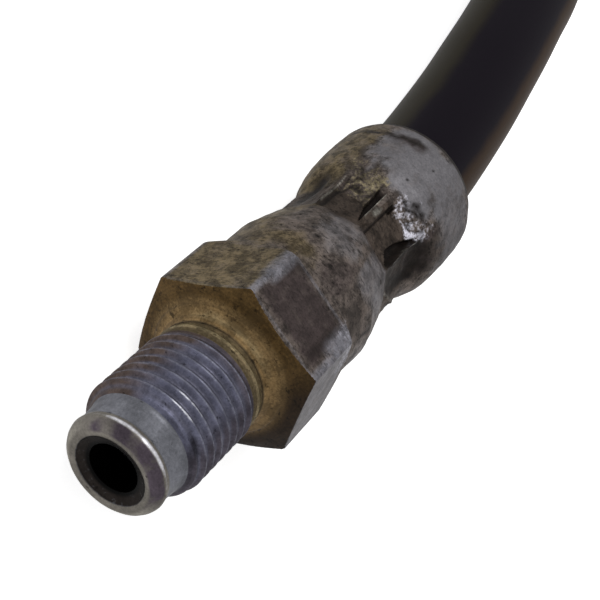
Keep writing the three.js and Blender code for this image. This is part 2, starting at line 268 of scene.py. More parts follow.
def hex_wear(station, turn, radius, front, back):
    """Where the edges of a hexagon are worn bright: its corners and the rim of each flat."""
    across = np.abs(turn_gap(turn - 30, 60 * np.round((turn - 30) / 60)))
    corner = 1 - smooth(0.1, 0.6, radius * np.radians(across))
    rim = 0.7 * (1 - smooth(0.05, 0.25, np.abs(station - front)))
    return np.clip(corner * patch(station, turn, front, back, -180, 180, 0.2) + 0.6 * rim, 0, 1)


def crimped(station, radius, turn, length):
    """The eight prints of the crimping jaws, and a mask of their floors.

    Stations here are those of the male fitting, whose mouth is at MALE_LENGTH.
    """
    s = station + MALE_LENGTH - length
    ridges = np.array(CRIMP_RIDGES, dtype=float)
    following = np.append(ridges[1:], ridges[0] + 360)
    pressed = radius.copy()
    printed = np.zeros_like(radius)
    for start, end, (foot, brow) in zip(ridges, following, PRINT_WALLS):
        middle, half = (start + end) / 2, (end - start) / 2
        gap = turn_gap(turn, middle)
        inside = np.abs(gap) <= half
        floor = JAW_APOTHEM / np.cos(np.radians(gap))
        share = np.clip(np.abs(gap) / half, 0, 1)
        sunk = smooth(28.6 + 0.8 * share, 30.6 + 0.4 * share, s)
        mark = sunk * (1 - smooth(foot, brow - 0.9 * share, s))
        pressed = np.where(inside, radius - mark * np.maximum(radius - floor, 0), pressed)
        stained = smooth(29.7, 30.6, s) * (1 - smooth(foot, foot + 1.4, s))
        printed = np.where(inside, stained, printed)
    return pressed, printed


def flash_between_jaws(s, radius, turn):
    """Metal squeezed up between the jaws: a strip, a thin fin and folds, and hollows beside them.

    Gives the new radius, painted shade for the hollows and painted highlights for the raised edges.
    """
    from_strip = np.abs(turn_gap(turn, -15))
    strip_start = np.interp(from_strip, [0, 2.5, 5], [30.6, 30.9, 31.6])
    strip = smooth(strip_start - 0.15, strip_start + 0.15, s) * (1 - smooth(35.4, 35.7, s))
    strip = strip * (1 - smooth(4.3, 5.1, from_strip))
    step = smooth(33.4, 33.7, s)
    radius = radius + strip * (6.22 + 0.1 * step - radius) * (radius < 6.4)
    recess_start = np.interp(turn_gap(turn, 0), [-25.5, -19.5], [33.0, 30.6])
    recess = smooth(recess_start, recess_start + 0.4, s) * (1 - smooth(35.3, 35.7, s))
    recess = recess * patch(s, turn, 30, 36, -25.6, -20.1, 0.3, 0.7)
    groove = stroke(s, turn, [(30.2, -9.6), (34.5, -9.6)], 0.13)
    pit = patch(s, turn, 34.5, 35.6, -10.6, -6.4, 0.15, 1.0)
    rim = np.interp(s, [30.5, 31.6, 32.9, 34.0, 35.6], [25.0, 14.8, 16.0, 19.2, 24.3])
    pocket = smooth(-1.0, 0.8, turn_gap(turn, 0) - rim)
    pocket = pocket * patch(s, turn, 30.6, 35.5, 0, 25.2, 0.15, 0.6)
    radius = radius - 0.5 * recess - 0.12 * groove - 0.4 * pit - 0.6 * pocket
    fin_line = [(31.2, 26.6), (32.3, 25.6), (34.0, 25.2), (35.6, 26.4)]
    fin = stroke(s, turn, fin_line, 0.16)
    rough = patch(s, turn, 31.0, 37.3, 29, 60, 0.8, 6.0)
    deep = patch(s, turn, 34.8, 36.8, 30, 54, 0.6, 6.0)
    radius = radius + 0.16 * fin - 0.22 * rough - 0.25 * deep
    fold_line = [(30.6, -56.0), (35.2, -55.0)]
    fold = stroke(s, turn, fold_line, 0.15)
    crease = stroke(s, turn, [(30.4, -53.2), (35.4, -52.6)], 0.22)
    second = stroke(s, turn, [(31.7, -62.5), (35.2, -61.5)], 0.25)
    arch = stroke(s, turn, [(30.6, 50.7), (31.6, 60.0), (33.5, 79.0)], 0.22)
    radius = radius + 0.16 * fold - 0.12 * crease + 0.08 * second + 0.14 * arch
    far_notch = stroke(s, turn, [(32.6, -85.0), (35.2, -78.0)], 0.8)
    radius = radius - 0.2 * far_notch
    thin_fin = stroke(s, turn, [(31.2, 27.6), (32.3, 26.6), (34.0, 26.3), (35.6, 27.2)], 0.08)
    wall = stroke(s, turn, [(30.9, 24.6), (35.4, 24.8)], 0.3)
    # Painted shade: the recess, groove, pit, pocket, wall, rough ground, crease and notch are
    # painted dark
    soot = [recess, 0.9 * groove, pit, 1.2 * pocket, wall]
    soot += [0.55 * rough, 0.85 * deep, 0.6 * crease, 0.75 * far_notch]
    thin_fold = stroke(s, turn, fold_line, 0.1)
    edge = stroke(s, turn, [(31.2, -18.9), (35.4, -19.1)], 0.08)
    plate = patch(s, turn, 32.2, 33.6, -17.6, -11.8, 0.5, 2.0)
    # Painted highlights along the fin, the folds, the arch, the edge of the strip and the plate
    bright = [0.85 * thin_fin, 0.5 * thin_fold, 0.26 * second, 0.42 * arch]
    bright += [0.7 * edge * strip, 0.56 * plate]
    dark = np.max(soot, axis=0) * (1 - thin_fin)
    return radius, np.clip(dark, 0, 1), np.clip(np.max(bright, axis=0), 0, 1)


# Profiles are of (station, radius, spacing factor)
SHELL_PROFILE = [
    (21.2, 6.97, 1), (25.5, 7.0, 1), (26.0, 6.88, 1), (27.0, 6.72, 1), (28.0, 6.49, 1),
    (29.0, 6.30, 0.6), (30.0, 6.15, 0.5), (31.0, 6.08, 0.5), (32.0, 6.04, 0.5), (33.0, 6.06, 0.5),
    (34.0, 6.11, 0.5), (35.0, 6.25, 0.5), (36.0, 6.49, 0.5), (37.0, 6.78, 0.8), (38.0, 7.03, 1),
    (39.0, 7.15, 1), (41.0, 7.30, 1), (43.0, 7.35, 1), (44.3, 7.32, 0.6), (45.0, 7.10, 0.5),
    (45.45, 6.78, 0.5), (45.6, 6.45, 0.5), (45.5, 6.22, 0.5), (45.1, 6.08, 1), (37.5, 5.7, 4),
    (35.0, 4.8, 4), (29.5, 4.8, 4), (26.0, 5.7, 4), (22.7, 5.7, 6), (22.7, 1.55, 6),
]
OUTSIDE_FLOOR = 5.95  # the outside of the shell is above this radius, and its hollow below it


def shell_profile(length):
    return [(s + length - MALE_LENGTH, r, fine) for s, r, fine in SHELL_PROFILE]


def thread_depth_at(station, turn):
    """How deep the thread's groove is, from 0 on a crest to 1 at a root."""
    phase = (station / THREAD_PITCH - turn / 360 + 0.15) % 1
    ridge = np.abs(phase - 0.5)
    return smooth(-0.12, 1.12, (ridge - 0.06) / 0.36)


# Dark specks on the body, as (station, turn)
BODY_SPECKS = (
    (24.9, -37), (25.6, -37), (24.7, -31), (26.5, -26), (28.4, -20), (27.9, -52), (26.8, -55),
    (28.9, -56), (23.4, -17), (21.7, -12), (22.9, -11), (27.3, -4), (24.9, 13), (28.6, 27),
    (41.2, -9), (38.0, -16), (39.8, 1),
)

# Apothems of the hexagons at turns 0, 60, 120 and so on
MALE_HEX = (7.0, 7.18, 7.2, 7.0, 7.0, 7.0)
FEMALE_HEX = (7.5,) * 6


def male_shape(station, radius, turn):
    s = station
    outside = radius > 3.4
    thread = outside & (s > 3.2) & (s < 11.9) & (radius > 4.2)
    depth = thread_depth_at(s, turn)
    fade = smooth(3.3, 4.1, s) * (1 - smooth(10.3, 11.0, s))
    threaded = np.where(thread, radius - THREAD_DEPTH * depth * fade, radius)
    hexed = np.where(
        outside & (s > 13.2) & (s < 21.6),
        smooth_min(threaded, hexagon(turn, MALE_HEX), HEX_EDGE_BLEND),
        threaded,
    )
    hexed = np.where(outside & (s > 18.9) & (s < 21.6), np.maximum(hexed, 6.9), hexed)
    on_shell = (s > 25) & (radius > OUTSIDE_FLOOR) & (s < MALE_LIP)
    pressed, printed = crimped(s, hexed, turn, MALE_LENGTH)
    flashed, soot, bright = flash_between_jaws(s, pressed, turn)
    swollen = 0.2 * np.exp(-((turn_gap(turn, 76) / 28) ** 2))
    swollen = swollen * patch(s, turn, 23, 41, -180, 180, 2.5)
    uneven = 0.024 * np.clip(drift(s, turn, 3.6, 9) + 0.4, 0, 1.6)
    uneven = uneven + 0.012 * np.abs(drift(s, turn, 1.3, 10))
    final = np.where(on_shell, flashed, hexed) + np.where(outside, swollen, 0)
    final = final - np.where(outside & (radius > OUTSIDE_FLOOR), uneven * smooth(20.6, 22.0, s), 0)
    shell = on_shell.astype(float)
    masks = male_marks(s, radius, turn)
    # The shell takes painted shade in its hollows and painted highlights on its raised edges
    masks["soot"] = np.clip(masks["soot"] + shell * soot, 0, 1)
    masks["bright"] = np.clip(masks["bright"] + shell * bright, 0, 1)
    masks["print"] = shell * printed
    # Painted highlights on the thread's crests, weaker on its shaded sides, and painted shade in
    # its roots
    shaded = np.maximum(masks["warm_shade"], masks["dusk"])
    masks["crest"] = np.where(thread, 1 - smooth(0.0, 0.08, depth), 0) * fade * (1 - 0.5 * shaded)
    masks["root"] = np.where(thread, smooth(0.55, 1.0, depth), 0) * fade
    cone = outside & (s > 13.3) & (s < 14.7)
    cut_by = threaded - hexagon(turn, MALE_HEX)
    # A painted highlight along the edge where the front cone meets the hexagon's flats
    front_edge = np.where(cone, np.exp(-((cut_by / 0.1) ** 2)), 0)
    front_edge = 0.5 * front_edge * smooth(-34, -27, turn) * (1 - smooth(26, 34, turn))
    masks["bright"] = np.maximum(masks["bright"], front_edge)
    masks["band_place"] = np.where(cone, np.where(cut_by > 0.03, 15.0, 13.0), s)
    # Painted glints on the first crests of the thread
    glinting = patch(s, turn, 3.9, 5.7, -22, 8, 0.2, 6)
    masks["ridge"] = masks["ridge"] + 0.62 * masks["crest"] * glinting
    return final, masks


def male_marks(s, radius, turn):
    """Where the male union is stained, worn or clean, and where light and shade are painted on it,
    as it lies in front of the camera.
    """
    outside = (radius > 3.4) & (s < MALE_LIP)
    # An area or a stain is (from and to station, from and to turn, soft border in mm, in degrees).
    # Stains have borders that wander, but those on the hexagon stop at its edges
    on_shell = smooth(20.0, 21.5, s)
    stray_s = s + on_shell * (0.42 * drift(s, turn, 3.2, 1) + 0.2 * drift(s, turn, 1.1, 2))
    stray_turn = turn + on_shell * (3.6 * drift(s, turn, 3.4, 3) + 1.7 * drift(s, turn, 1.1, 4))

    def area(*limits):
        return patch(s, turn, *limits)

    def stain(*limits):
        return patch(stray_s, stray_turn, *limits)

    def smear(points, width):
        return stroke(0.5 * (s + stray_s), 0.5 * (turn + stray_turn), points, width)

    hexagon_flats = (s > 13.5) & (s < 21.4)
    olive = [
        0.85 * area(13.7, 20.5, -95, -31, 0.3, 2),
        0.7 * stain(20.5, 32, -150, -58, 1.2, 10),
        0.7 * stain(20.8, 23.6, -66, -16, 1.2, 9),
        0.8 * stain(37, 44, -150, -50, 1.2, 9),
        0.8 * stain(30, 37.5, -130, -58, 1, 5),
        0.5 * stain(20, 44, 120, 260, 2.5, 25),
    ]
    tawny = [
        0.56 * area(14.0, 19.5, -84, -42, 0.9, 8),
        0.5 * stain(20.8, 23.8, -66, -24, 1, 9),
        0.28 * stain(33, 38, -110, -66, 1.2, 8),
        0.32 * stain(22, 44, 140, 230, 2.5, 20),
    ]
    clean = [
        1.0 * stain(36.6, 44.9, -38, 10, 0.8, 7),
        0.9 * stain(38.6, 44.9, -49, 22, 0.9, 7),
        0.7 * stain(38.8, 44.2, 12, 84, 1.3, 10),
        0.6 * stain(25.2, 30.2, -36, -6, 1.5, 8),
        0.62 * stain(25, 30.4, 6, 46, 1.6, 8),
        0.8 * area(14.0, 20.5, 31, 92, 0.4, 3),
        0.55 * stain(22, 27, 56, 114, 2, 14),
        0.65 * stain(38, 44, 150, 210, 2, 18),
    ]
    brown = [
        0.9 * area(14.7, 20.1, -28, 26.0, 0.8, 5.0),
        0.55 * stain(21, 26, -9, 7, 1.2, 6),
        0.55 * stain(36.4, 39.2, 20, 40, 0.8, 7),
        0.8 * smear([(42.4, -41), (42.6, -34), (42.6, -26)], 0.9),
        0.8 * stain(33.4, 37.2, 27.6, 60, 0.6, 2.5),
        0.62 * stain(32.4, 35.2, -51, -36, 0.7, 4),
        0.6 * area(14.3, 20.2, 150, 210, 0.6, 5),
    ]
    gold = [
        0.42 * stain(33.1, 37.0, -51, -23, 0.8, 5),
        0.5 * stain(34.2, 36.8, -40, -22, 0.6, 5),
        0.62 * stain(36.0, 37.0, -38, -22, 0.4, 3),
        0.36 * stain(36.2, 38.4, -56, -40, 0.7, 5),
        0.5 * stain(33.2, 36.8, 122, 162, 0.8, 8),
    ]
    silver = [
        0.42 * stain(34.6, 37.2, -8, 10, 0.6, 4),
        0.72 * stain(34.9, 36.6, 11, 27, 0.6, 5),
        0.32 * stain(35.8, 37.9, 8, 34, 0.6, 6),
        0.42 * area(18.8, 21.8, 20, 56, 0.8, 6),
        0.45 * stain(34.5, 37.4, 168, 207, 0.8, 8),
    ]
    flats = hex_wear(s, turn, radius, 14.25, 20.3) * hexagon_flats
    worn = [
        0.75 * flats * (1 - smooth(92, 100, np.abs(turn_gap(turn, 60)))),
        0.45 * flats,
        0.75 * area(16.4, 20.7, -34.5, -24.5, 0.9, 3.2),
        0.7 * area(14.2, 17.2, 27.2, 31.5, 0.4, 1.8),
        0.85 * area(17.0, 20.9, 21.5, 34, 1.1, 5),
        0.5 * area(20.1, 20.4, -28, 24, 0.2, 2),
    ]
    # Soot and dirt, with painted shade beside the fin, on the rough ground right of it and at the
    # lip
    soot = [
        0.95 * smear([(42.8, -84), (42.7, -70), (42.7, -58)], 0.28),
        0.95 * smear([(42.6, -55), (42.5, -44), (42.6, -40)], 0.28),
        0.85 * smear([(42.5, -41), (42.6, -34), (43.0, -25)], 0.5),
        0.62 * patch(s, turn, 31.2, 36.4, 26.3, 33, 0.3, 0.7),
        0.7 * smear([(33.4, -48), (34.4, -42), (34.2, -36)], 0.34),
        0.62 * smear([(35.0, -47), (35.9, -41), (36.6, -46)], 0.3),
        0.66 * smear([(33.0, -30), (34.8, -27), (36.0, -24)], 0.24),
        0.75 * smear([(36.3, -4), (36.7, 9)], 0.2),
        0.7 * smear([(37.0, 2), (37.3, 22)], 0.22),
        0.6 * smear([(35.6, 9), (36.4, 22)], 0.14),
        0.66 * stain(31.4, 36.2, 43, 62, 0.8, 5),
        0.5 * smear([(35.6, -40), (36.6, -44), (38.0, -52)], 0.5),
        0.45 * smear([(33.6, -47), (34.6, -38), (34.0, -30)], 0.35),
        0.75 * smear([(23.5, 47), (25.6, 48)], 0.3),
        0.5 * stain(23.6, 25.2, 9, 17, 0.7, 5),
        0.46 * stain(21.8, 24, 18, 32, 0.8, 6),
        0.44 * stain(20.4, 24, 25, 45, 1, 6),
        0.42 * stain(28.4, 30.6, 26, 52, 0.8, 8),
        0.9 * area(44.4, 46, -180, 180, 0.25),
        0.36 * stain(28.6, 33.4, -110, -22, 0.8, 5),
        0.2 * stain(33.4, 36, -110, -60, 0.8, 5),
        0.42 * stain(36.6, 44, 36, 62, 1.2, 10),
        0.45 * stain(26, 44, 110, 250, 2.5, 25),
        0.5 * area(14.6, 19.4, 17, 23, 0.8, 3.5),
    ]
    for place in BODY_SPECKS:
        size = 0.16 if place[0] < 36 else 0.1
        line = [place, (place[0] + 0.1, place[1] + 15 * size)]
        soot.append(0.9 * stroke(s, turn, line, size))
    inside = (radius < OUTSIDE_FLOOR) & (s > 22)
    marks = dict(olive=olive, tawny=tawny, clean=clean, brown=brown)
    marks.update(gold=gold, silver=silver, worn=worn, soot=soot)
    masks = {name: np.where(outside, np.max(layers, axis=0), 0) for name, layers in marks.items()}
    # Painted shade inside the shell and past its lip
    masks["soot"] = np.where(inside | (s >= MALE_LIP), 0.9, masks["soot"])
    masks["bright"] = np.zeros_like(s)
    # The nose: painted shade round the mouth, a painted dark reflection on the bead's band and a
    # painted highlight on its ridge
    from_top = np.abs(turn_gap(turn, -8))
    masks["mouth"] = (1 - smooth(2.08, 2.5, radius)) * (s < 9.5)
    masks["face"] = np.where((s < 1.2) & (radius > 2.9), 1.0, 0)
    band = 0.8 * (s < 1) * smooth(3.15, 3.4, radius) * (1 - smooth(0.6, 0.8, s))
    band = band * (1 - smooth(62, 104, from_top))
    masks["band"] = band * np.clip(0.9 + 0.45 * drift(s, turn, 4.5, 11), 0.35, 1.2)
    ridge = np.exp(-(((s - 0.86) / 0.15) ** 2)) * (radius > 3.45)
    lit_turns = [-90, -60, -45, -22, -17, -12, 16, 30, 80]
    lit = [0.2, 0.3, 0.9, 0.9, 0.5, 1.0, 1.0, 0.35, 0.2]
    masks["ridge"] = ridge * np.interp(turn_gap(turn, 0), lit_turns, lit)
    countersink = (radius > 2.1) * (1 - smooth(2.86, 2.97, radius)) * (s < 2)
    shade = area(3.25, 3.5, -30, 200, 0.08, 30) * 0.4 + countersink
    masks["shade"] = np.clip(shade + area(3.55, 4.15, 12, 36, 0.15, 9) * 0.8, 0, 1)
    # Painted shade: the thread is darker and warmer on its left and at its last turns, and darker
    # on its right
    warm_shade = smooth(22, 56, -turn_gap(turn, -8)) * 0.9 + smooth(9.4, 10.6, s) * 0.6
    masks["warm_shade"] = np.clip(warm_shade, 0, 1)
    masks["dusk"] = smooth(18, 50, turn_gap(turn, -8))
    cone = (s > 13) & (s < 14.7)
    rightward = turn_gap(turn, 60)
    # The front cone: darker brown towards the hexagon's edge, partly grease and partly painted
    # shade; painted shade on the right side and underneath, and in thin rings along the relief
    masks["rim"] = smooth(5.6, 6.5, radius) * cone
    masks["gloom"] = smooth(-52, -8, rightward) * (1 - smooth(90, 140, rightward)) * cone
    masks["gloom"] = masks["gloom"] * (0.4 + 0.6 * smooth(5.2, 7.0, radius))
    for line, strength in ((11.15, 0.5), (12.5, 0.75), (13.42, 0.35)):
        masks["gloom"] = np.maximum(masks["gloom"], strength * np.exp(-(((s - line) / 0.1) ** 2)))
    masks["groove"] = area(10.6, 12.55, -180, 180, 0.2) * 0.9
    glint = 0.5 * np.exp(-(((s - 11.85) / 0.12) ** 2)) + 0.36 * area(12.8, 13.25, -70, 25, 0.2, 20)
    bead = 0.8 * (s < 1.35) * smooth(3.3, 3.6, radius) * smooth(60, 105, from_top)
    masks["glint"] = glint + bead
    return masks


MALE_PROFILE = [
    (9.0, 1.55, 3), (9.0, 2.02, 4), (0.45, 2.02, 0.5), (0.1, 2.85, 0.5), (0.0, 2.95, 0.5),
    (0.0, 3.42, 0.5), (0.06, 3.58, 0.4), (0.32, 3.88, 0.3), (0.62, 4.06, 0.3), (0.88, 4.13, 0.3),
    (1.08, 4.1, 0.4), (1.4, 4.02, 0.5), (1.8, 4.03, 1), (3.2, 4.15, 0.5), (3.35, 4.3, 0.25),
    (3.9, 4.95, 0.27), (10.6, 4.95, 0.27), (10.9, 4.74, 0.5), (11.7, 4.7, 0.3), (11.85, 4.78, 0.3),
    (12.0, 4.68, 0.5), (12.5, 4.64, 0.4), (12.65, 4.74, 0.4), (13.1, 5.0, 0.4), (13.35, 5.6, 0.4),
    (13.5, 5.75, 0.4), (13.84, 6.95, 0.4), (14.5, 8.6, 0.4), (19.7, 8.6, 0.5), (21.2, 6.97, 1),
]


# Materials


def new_material(name):
    material = bpy.data.materials.new(name)
    material.use_nodes = True
    material.node_tree.nodes.clear()
    return material, material.node_tree


def stained_metal(
    name, base, layers, metallic, roughness, mottle, bump_depth, calm=0.0, turned=0.0
):
    """Metal with stains, painted shade and painted highlights laid over it, then made darker and
    paler by patches, pits and grain.

    Each layer is (mask, colour, size of its grain in mm, how far the grain breaks its edge, how
    soft the edge is). The mottle is (size of a patch in mm, darkest, palest, where pits begin).
    Calm is how much of the mottle goes where the metal is clean, brown or worn, and turned is
    how strongly the lines of the lathe show.
    """
    material, tree = new_material(name)
    patch_size, darkest, palest, pitted = mottle
    along = add_node(tree, "ShaderNodeAttribute", {"attribute_name": "along_part"})
    place = along.outputs["Vector"]
    # Pits run round the part, as the rolling and turning that opened them did
    rolled = add_node(tree, "ShaderNodeMapping", Vector=place, Scale=(2.2, 1.0, 1.0))
    noises = (
        (place, 1 / patch_size, 9, 0.76),
        (rolled, 2.6 / patch_size, 5, 0.6),
        (place, 5.0, 3, 0.7),
    )
    cloud, pits, grain = (
        add_node(tree, "ShaderNodeTexNoise", Vector=v, Scale=scale, Detail=detail, Roughness=rough)
        for v, scale, detail, rough in noises
    )
    color = base
    for mask, tint, size, broken, soft in layers:
        amount = add_node(tree, "ShaderNodeAttribute", {"attribute_name": mask}).outputs["Fac"]
        edge = add_node(
            tree, "ShaderNodeTexNoise", Vector=place, Scale=1 / size, Detail=6, Roughness=0.65
        )
        shift = add_node(
            tree,
            "ShaderNodeMath",
            {"operation": "MULTIPLY_ADD"},
            i0=edge,
            i1=broken,
            i2=1 - 0.5 * broken,
        )
        reach = add_node(tree, "ShaderNodeMath", {"operation": "MULTIPLY"}, i0=shift, i1=amount)
        share = add_node(tree, "ShaderNodeMapRange", Value=reach, i1=0.5 - soft, i2=0.5 + soft)
        color = add_node(
            tree, "ShaderNodeMix", {"data_type": "RGBA"}, i0=share, i6=color, i7=linear(tint)
        ).outputs[2]
    patches = add_node(
        tree, "ShaderNodeMapRange", Value=cloud, i1=0.43, i2=0.57, i3=darkest, i4=palest
    )
    specks = add_node(
        tree, "ShaderNodeMapRange", Value=pits, i1=pitted, i2=pitted + 0.035, i3=1.0, i4=0.42
    )
    shade = add_node(tree, "ShaderNodeMath", {"operation": "MULTIPLY"}, i0=patches, i1=specks)
    even = 0.0
    for mask, share in (("clean", 1.0), ("brown", 0.8), ("worn", 0.85)):
        amount = add_node(tree, "ShaderNodeAttribute", {"attribute_name": mask}).outputs["Fac"]
        amount = add_node(tree, "ShaderNodeMath", {"operation": "MULTIPLY"}, i0=amount, i1=share)
        even = add_node(tree, "ShaderNodeMath", {"operation": "MAXIMUM"}, i0=amount, i1=even)
    evened = add_node(tree, "ShaderNodeMapRange", Value=even, i1=0.45, i2=0.85, i4=calm)
    shade = add_node(tree, "ShaderNodeMix", i0=evened, i2=shade, i3=1.0)
    lathe = add_node(tree, "ShaderNodeAttribute", {"attribute_name": "lathe"}).outputs["Fac"]
    lines = add_node(tree, "ShaderNodeMapRange", Value=lathe, i3=1 - turned, i4=1 + turned)
    fine = add_node(tree, "ShaderNodeMapRange", Value=grain, i1=0.3, i2=0.7, i3=0.78, i4=1.22)
    for factor in (lines, fine):
        shade = add_node(tree, "ShaderNodeMath", {"operation": "MULTIPLY"}, i0=shade, i1=factor)
    color = add_node(tree, "ShaderNodeHueSaturation", Value=shade, Color=color)
    dull = add_node(
        tree,
        "ShaderNodeMapRange",
        Value=cloud,
        i1=0.35,
        i2=0.65,
        i3=roughness + 0.08,
        i4=roughness - 0.08,
    )
    # Dirt hides the metal and is duller than it; the painted shade in the same mask is dulled too
    dirt = add_node(tree, "ShaderNodeAttribute", {"attribute_name": "soot"}).outputs["Fac"]
    bare = add_node(tree, "ShaderNodeMapRange", Value=dirt, i1=0.3, i2=0.8, i3=metallic, i4=0.1)
    dull = add_node(
        tree, "ShaderNodeMath", {"operation": "MULTIPLY_ADD"}, i0=dirt, i1=0.25, i2=dull
    )
    relief = add_node(
        tree, "ShaderNodeMath", {"operation": "MULTIPLY_ADD"}, i0=pits, i1=-1.0, i2=cloud
    )
    bump = add_node(tree, "ShaderNodeBump", Strength=0.6, Distance=bump_depth * MM, Height=relief)
    shader = add_node(
        tree,
        "ShaderNodeBsdfPrincipled",
        Base_Color=color,
        Metallic=bare,
        Roughness=dull,
        Specular_IOR_Level=0.25,
        Specular_Tint=linear("#a0a0a0"),
        Normal=bump,
    )
    add_node(tree, "ShaderNodeOutputMaterial", Surface=shader)
    return material


def hose_rubber(name, base, roughness):
    """Extruded synthetic rubber: smooth and nearly black, with road dust and a painted sheen along
    its sides.
    """
    material, tree = new_material(name)
    along = add_node(tree, "ShaderNodeAttribute", {"attribute_name": "along_part"})
    place = along.outputs["Vector"]
    grain, cloud = (
        add_node(tree, "ShaderNodeTexNoise", Vector=place, Scale=scale, Detail=4, Roughness=0.6)
        for scale in (3.0, 0.16)
    )
    color = base
    # Dust and a painted sheen along each side of the hose
    for mask, tint in (("green_dust_and_sheen", "#26221a"), ("brown_dust_and_sheen", "#33251a")):
        amount = add_node(tree, "ShaderNodeAttribute", {"attribute_name": mask}).outputs["Fac"]
        broken = add_node(
            tree, "ShaderNodeMath", {"operation": "MULTIPLY_ADD"}, i0=cloud, i1=0.8, i2=amount
        )
        share = add_node(tree, "ShaderNodeMapRange", Value=broken, i1=0.6, i2=1.3)
        color = add_node(
            tree, "ShaderNodeMix", {"data_type": "RGBA"}, i0=share, i6=color, i7=linear(tint)
        ).outputs[2]
    bump = add_node(tree, "ShaderNodeBump", Strength=0.2, Distance=0.02 * MM, Height=grain)
    shader = add_node(
        tree,
        "ShaderNodeBsdfPrincipled",
        Base_Color=color,
        Roughness=roughness,
        Specular_IOR_Level=0.022,
        Normal=bump,
    )
    add_node(tree, "ShaderNodeOutputMaterial", Surface=shader)
    return material


def plain_rubber(name, base, roughness):
    """Extruded synthetic rubber: black and matt, with the faint grain of the die."""
    material, tree = new_material(name)
    place = add_node(tree, "ShaderNodeTexCoord").outputs["Object"]
    grain = add_node(tree, "ShaderNodeTexNoise", Vector=place, Scale=2500.0, Detail=3)
    bump = add_node(tree, "ShaderNodeBump", Strength=0.1, Distance=0.03 * MM, Height=grain)
    shader = add_node(
        tree,
        "ShaderNodeBsdfPrincipled",
        Base_Color=linear(base),
        Roughness=roughness,
        Specular_IOR_Level=0.2,
        Normal=bump,
    )
    add_node(tree, "ShaderNodeOutputMaterial", Surface=shader)
    return material


def drawn_steel(name, base, pale):
    """Drawn steel tube: even grey with fine lines along it."""
    material, tree = new_material(name)
    place = add_node(tree, "ShaderNodeTexCoord").outputs["Object"]
    lines = add_node(tree, "ShaderNodeTexNoise", Vector=place, Scale=900.0, Detail=3)
    color = add_node(
        tree, "ShaderNodeMix", {"data_type": "RGBA"}, i0=lines, i6=linear(base), i7=linear(pale)
    ).outputs[2]
    shader = add_node(
        tree, "ShaderNodeBsdfPrincipled", Base_Color=color, Metallic=0.9, Roughness=0.4
    )
    add_node(tree, "ShaderNodeOutputMaterial", Surface=shader)
    return material


def yarn(name, base):
    """Braided polyester yarn: off-white and matt."""
    material, tree = new_material(name)
    place = add_node(tree, "ShaderNodeTexCoord").outputs["Object"]
    strands = add_node(tree, "ShaderNodeTexWave", Vector=place, Scale=600.0, Distortion=1.0)
    bump = add_node(
        tree, "ShaderNodeBump", Strength=0.4, Distance=0.1 * MM, Height=strands.outputs[1]
    )
    shader = add_node(
        tree, "ShaderNodeBsdfPrincipled", Base_Color=linear(base), Roughness=0.9, Normal=bump
    )
    add_node(tree, "ShaderNodeOutputMaterial", Surface=shader)
    return material


